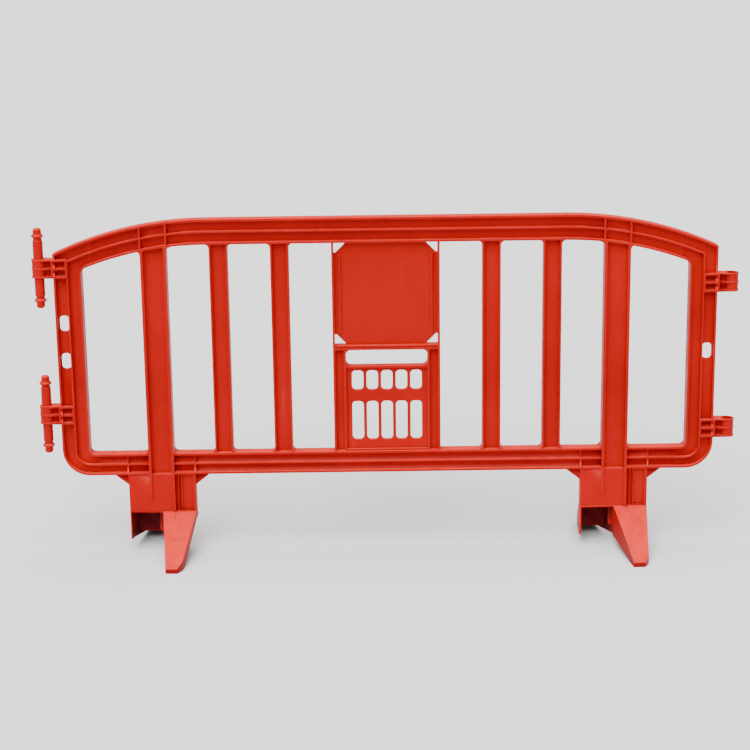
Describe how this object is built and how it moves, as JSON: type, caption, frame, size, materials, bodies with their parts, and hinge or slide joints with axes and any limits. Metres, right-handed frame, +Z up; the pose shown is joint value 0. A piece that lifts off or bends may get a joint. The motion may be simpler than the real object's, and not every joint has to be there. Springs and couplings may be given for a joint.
{
  "type": "interlocking crowd control barrier",
  "caption": "Moulded plastic crowd barrier with ribbed rails, flat uprights, sign plate, carrying handle, hinge pins, pin receivers and swivelling splayed feet.",
  "frame": {"origin": "on the ground under the middle of the panel, half-way between the hinge line and the receiver line", "axes": "+X along the panel from the hinge pins to the receivers, +Y to the back, +Z up"},
  "size_m": [2.042, 0.4352, 1],
  "materials": {
    "moulded_plastic": "satin moulded polyolefin, orange-red through its whole thickness",
    "sign_face": "smooth satin moulded polyolefin, orange-red",
    "zinc_hardware": "zinc-plated steel"
  },
  "bodies": {
    "panel": {"bottom_rail_left": "moulded_plastic", "bottom_rail_middle": "moulded_plastic", "bottom_rail_right": "moulded_plastic", "grille": "moulded_plastic", "inner_left_bar": "moulded_plastic", "inner_right_bar": "moulded_plastic", "left_foot_housing": "moulded_plastic", "left_post": "moulded_plastic", "left_side_post": "moulded_plastic", "left_stile": "moulded_plastic", "lower_hinge_bracket": "moulded_plastic", "lower_hinge_pin": "moulded_plastic", "lower_receiver": "moulded_plastic", "outer_left_bar": "moulded_plastic", "outer_right_bar": "moulded_plastic", "right_foot_housing": "moulded_plastic", "right_post": "moulded_plastic", "right_side_post": "moulded_plastic", "right_stile": "moulded_plastic", "sign_plate": "sign_face", "top_rail": "moulded_plastic", "upper_hinge_bracket": "moulded_plastic", "upper_hinge_pin": "moulded_plastic", "upper_receiver": "moulded_plastic"},
    "left_foot": {"left_foot_shell": "moulded_plastic", "left_foot_spigot": "moulded_plastic", "left_retaining_washer": "zinc_hardware", "left_pivot_bolt": "zinc_hardware"},
    "right_foot": {"right_foot_shell": "moulded_plastic", "right_foot_spigot": "moulded_plastic", "right_retaining_washer": "zinc_hardware", "right_pivot_bolt": "zinc_hardware"}
  },
  "joints": [
    {"name": "left_foot_swivel", "type": "hinge", "parent": "panel", "child": "left_foot", "pos_m": [-0.668, 0, 0.124], "axis": [0, 0, 1], "range_deg": [0, 92.5]},
    {"name": "right_foot_swivel", "type": "hinge", "parent": "panel", "child": "right_foot", "pos_m": [0.668, 0, 0.124], "axis": [0, 0, 1], "range_deg": [-2.5, 87.5]}
  ]
}
